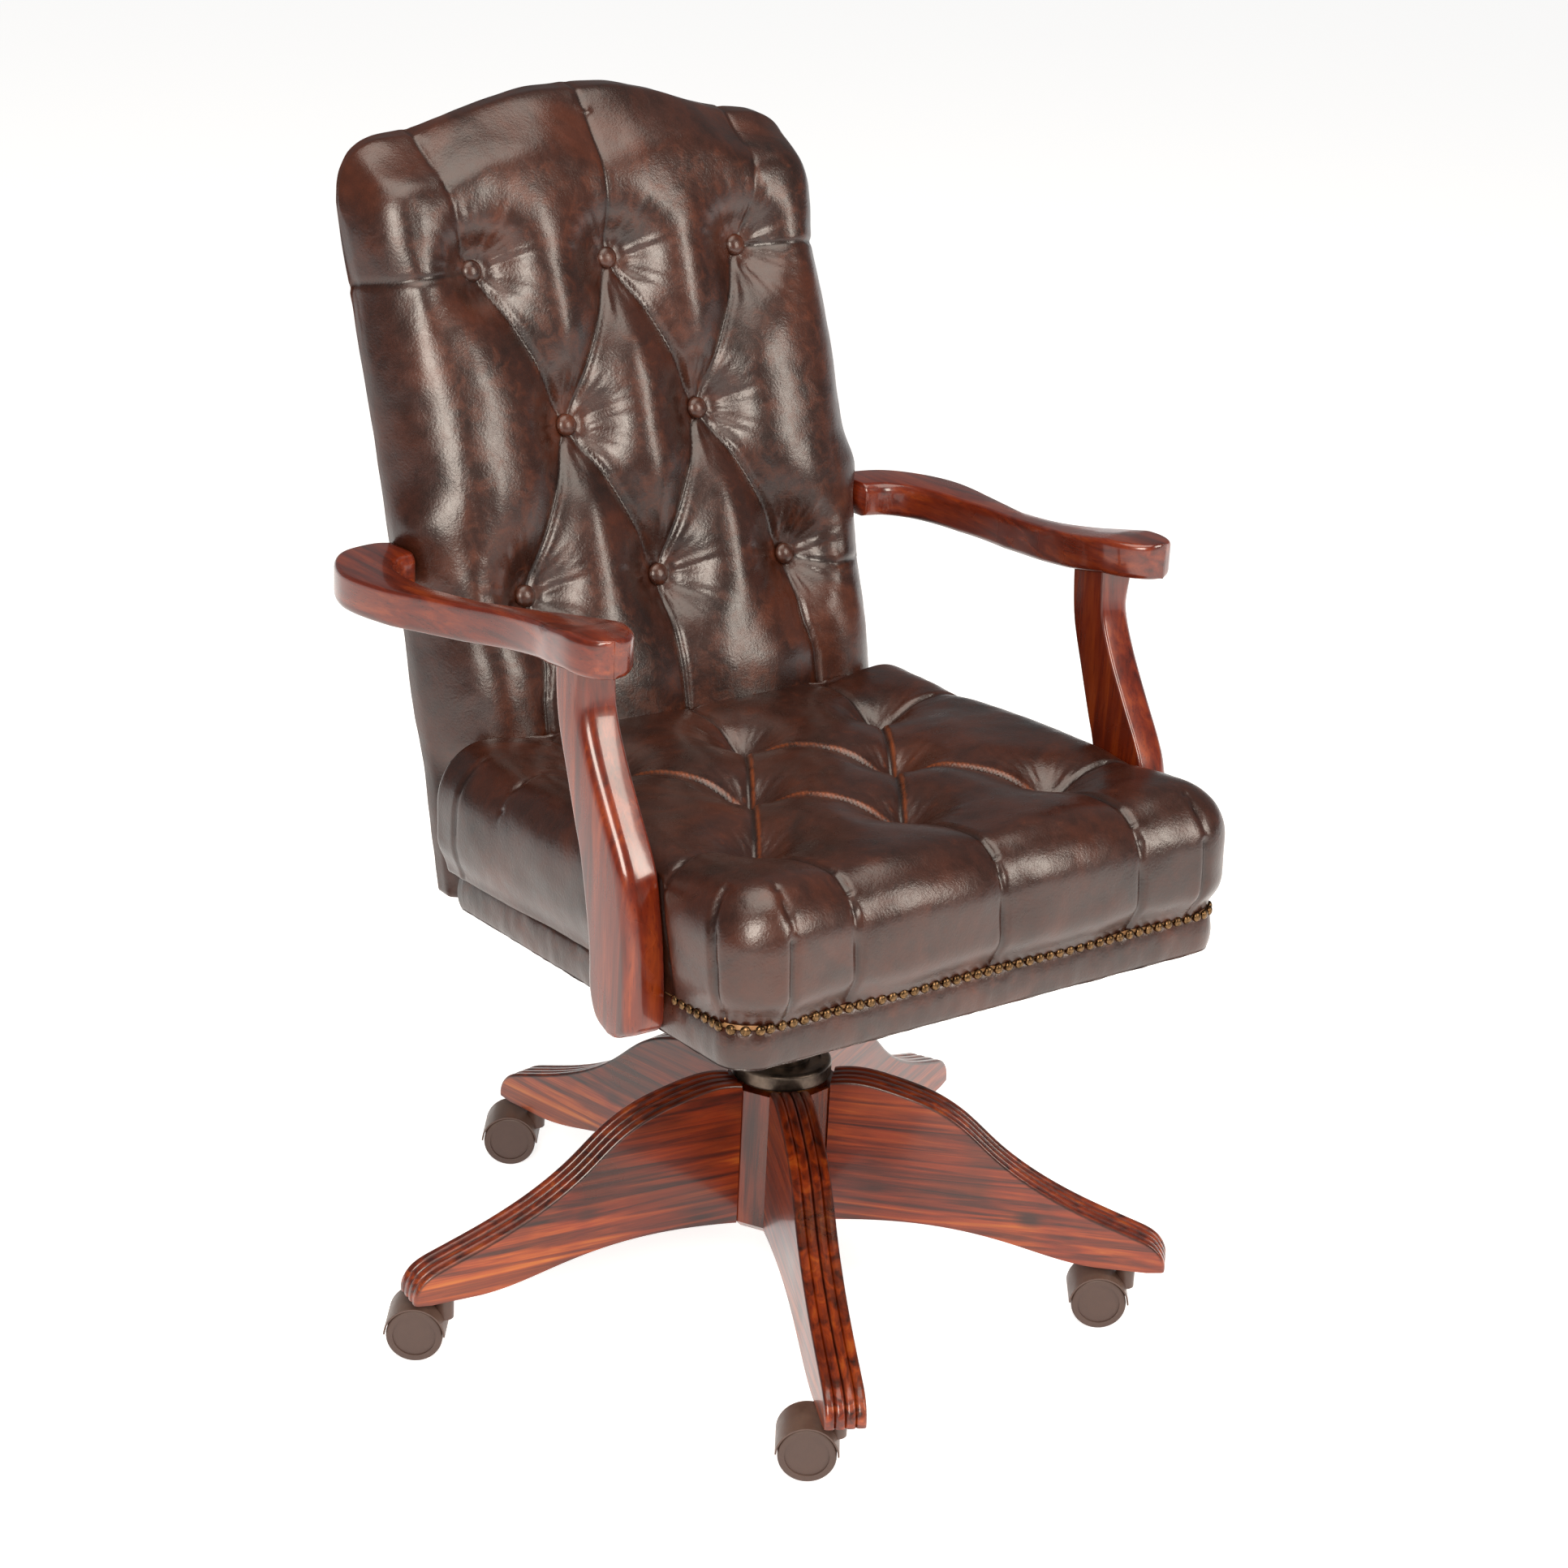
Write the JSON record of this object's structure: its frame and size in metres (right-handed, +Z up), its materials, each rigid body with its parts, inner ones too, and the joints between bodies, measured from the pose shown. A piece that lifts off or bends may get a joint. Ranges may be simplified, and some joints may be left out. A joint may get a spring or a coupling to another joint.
{
  "type": "swivel office chair",
  "caption": "Swivel desk chair with deep-buttoned leather back and tufted seat, open wooden arms, screw lift, tilt, and a reeded wooden star base on twin-wheel casters.",
  "frame": {"origin": "on the floor plane, on the vertical axis of the spindle, under the middle of the base", "axes": "+Z up, the seat faces -Y, and +X is to the right as seen from the front, which is the sitter's left hand"},
  "size_m": [0.7093, 0.7387, 1.045],
  "materials": {
    "base_wood": "gloss",
    "arm_wood": "gloss",
    "frame_wood": "matte",
    "caster_plastic": "satin",
    "steel": "satin",
    "black_iron": "satin",
    "handwheel_iron": "gloss",
    "knob_plastic": "satin",
    "bush_brass": "satin",
    "rubber": "matte",
    "upholsterer_cloth": "matte",
    "padded_leather": "gloss",
    "cover_leather": "gloss",
    "nail_brass": "satin"
  },
  "bodies": {
    "base": {"base_hub": "base_wood", "base_leg_1": "base_wood", "base_leg_2": "base_wood", "base_leg_3": "base_wood", "base_leg_4": "base_wood", "base_leg_5": "base_wood", "leg_bolts": "steel", "caster_sockets": "steel", "column_bush": "bush_brass", "guide_key": "steel"},
    "handwheel": {"handwheel": "handwheel_iron"},
    "spindle": {"spindle": "steel", "thrust_race": "steel"},
    "swivel_head": {"tilt_housing": "black_iron", "tilt_spring": "steel", "stop_pads": "rubber"},
    "tension_screw": {"tension_screw": "steel", "tension_knob": "knob_plastic"},
    "seat": {"pivot_pin": "steel", "tilt_plate": "black_iron", "plate_bolts": "steel", "seat_bearers": "frame_wood", "seat_frame": "frame_wood", "seat_webbing": "upholsterer_cloth", "dust_cover": "upholsterer_cloth", "rail_leather": "cover_leather", "nail_trim": "nail_brass", "seat_cushion": "padded_leather", "back_frame": "frame_wood", "back_webbing": "upholsterer_cloth", "back_cover": "cover_leather", "back_cushion": "padded_leather", "back_buttons": "cover_leather", "arm_left": "arm_wood", "arm_right": "arm_wood", "arm_post_left": "arm_wood", "arm_post_right": "arm_wood", "arm_screws": "steel"},
    "caster_1": {"caster_hood_1": "caster_plastic", "caster_pins_1": "steel"},
    "wheel_near_1": {"caster_wheel_near_1": "caster_plastic"},
    "wheel_far_1": {"caster_wheel_far_1": "caster_plastic"},
    "caster_2": {"caster_hood_2": "caster_plastic", "caster_pins_2": "steel"},
    "wheel_near_2": {"caster_wheel_near_2": "caster_plastic"},
    "wheel_far_2": {"caster_wheel_far_2": "caster_plastic"},
    "caster_3": {"caster_hood_3": "caster_plastic", "caster_pins_3": "steel"},
    "wheel_near_3": {"caster_wheel_near_3": "caster_plastic"},
    "wheel_far_3": {"caster_wheel_far_3": "caster_plastic"},
    "caster_4": {"caster_hood_4": "caster_plastic", "caster_pins_4": "steel"},
    "wheel_near_4": {"caster_wheel_near_4": "caster_plastic"},
    "wheel_far_4": {"caster_wheel_far_4": "caster_plastic"},
    "caster_5": {"caster_hood_5": "caster_plastic", "caster_pins_5": "steel"},
    "wheel_near_5": {"caster_wheel_near_5": "caster_plastic"},
    "wheel_far_5": {"caster_wheel_far_5": "caster_plastic"}
  },
  "joints": [
    {"name": "seat_lift", "type": "slide", "parent": "base", "child": "spindle", "axis": [0, 0, 1], "range_m": [0, 0.08]},
    {"name": "handwheel_turn", "type": "hinge", "parent": "base", "child": "handwheel", "pos_m": [0, 0, 0.222], "axis": [0, 0, 1], "range_deg": [0, 7200]},
    {"name": "seat_swivel", "type": "hinge", "parent": "spindle", "child": "swivel_head", "pos_m": [0, 0, 0.32], "axis": [0, 0, 1], "continuous": true},
    {"name": "seat_tilt", "type": "hinge", "parent": "swivel_head", "child": "seat", "pos_m": [0, -0.045, 0.346], "axis": [-1, 0, 0], "range_deg": [0, 12], "stiffness_Nm_per_rad": 150, "springref_deg": -18.33, "deforming": ["tilt_spring"]},
    {"name": "tension_turn", "type": "hinge", "parent": "swivel_head", "child": "tension_screw", "pos_m": [0, 0.046, 0.303], "axis": [0, 0, 1], "continuous": true},
    {"name": "caster_swivel_1", "type": "hinge", "parent": "base", "child": "caster_1", "pos_m": [-0.14283, -0.29415, 0.06], "axis": [0, 0, 1], "continuous": true},
    {"name": "wheel_near_1_roll", "type": "hinge", "parent": "caster_1", "child": "wheel_near_1", "pos_m": [-0.16203, -0.27975, 0.025], "axis": [-0.6004, -0.7997, 0], "continuous": true},
    {"name": "wheel_far_1_roll", "type": "hinge", "parent": "caster_1", "child": "wheel_far_1", "pos_m": [-0.16203, -0.27975, 0.025], "axis": [-0.6004, -0.7997, 0], "continuous": true},
    {"name": "caster_swivel_2", "type": "hinge", "parent": "base", "child": "caster_2", "pos_m": [0.23562, -0.22674, 0.06], "axis": [0, 0, 1], "continuous": true},
    {"name": "wheel_near_2_roll", "type": "hinge", "parent": "caster_2", "child": "wheel_near_2", "pos_m": [0.21643, -0.21233, 0.025], "axis": [-0.6004, -0.7997, 0], "continuous": true},
    {"name": "wheel_far_2_roll", "type": "hinge", "parent": "caster_2", "child": "wheel_far_2", "pos_m": [0.21643, -0.21233, 0.025], "axis": [-0.6004, -0.7997, 0], "continuous": true},
    {"name": "caster_swivel_3", "type": "hinge", "parent": "base", "child": "caster_3", "pos_m": [0.28846, 0.15402, 0.06], "axis": [0, 0, 1], "continuous": true},
    {"name": "wheel_near_3_roll", "type": "hinge", "parent": "caster_3", "child": "wheel_near_3", "pos_m": [0.26926, 0.16843, 0.025], "axis": [-0.6004, -0.7997, 0], "continuous": true},
    {"name": "wheel_far_3_roll", "type": "hinge", "parent": "caster_3", "child": "wheel_far_3", "pos_m": [0.26926, 0.16843, 0.025], "axis": [-0.6004, -0.7997, 0], "continuous": true},
    {"name": "caster_swivel_4", "type": "hinge", "parent": "base", "child": "caster_4", "pos_m": [-0.05735, 0.32193, 0.06], "axis": [0, 0, 1], "continuous": true},
    {"name": "wheel_near_4_roll", "type": "hinge", "parent": "caster_4", "child": "wheel_near_4", "pos_m": [-0.07654, 0.33634, 0.025], "axis": [-0.6004, -0.7997, 0], "continuous": true},
    {"name": "wheel_far_4_roll", "type": "hinge", "parent": "caster_4", "child": "wheel_far_4", "pos_m": [-0.07654, 0.33634, 0.025], "axis": [-0.6004, -0.7997, 0], "continuous": true},
    {"name": "caster_swivel_5", "type": "hinge", "parent": "base", "child": "caster_5", "pos_m": [-0.3239, 0.04494, 0.06], "axis": [0, 0, 1], "continuous": true},
    {"name": "wheel_near_5_roll", "type": "hinge", "parent": "caster_5", "child": "wheel_near_5", "pos_m": [-0.34309, 0.05935, 0.025], "axis": [-0.6004, -0.7997, 0], "continuous": true},
    {"name": "wheel_far_5_roll", "type": "hinge", "parent": "caster_5", "child": "wheel_far_5", "pos_m": [-0.34309, 0.05935, 0.025], "axis": [-0.6004, -0.7997, 0], "continuous": true}
  ],
  "couplings": [
    {"joint": "handwheel_turn", "follows": "seat_lift", "rad_per_m": 1570.8}
  ]
}
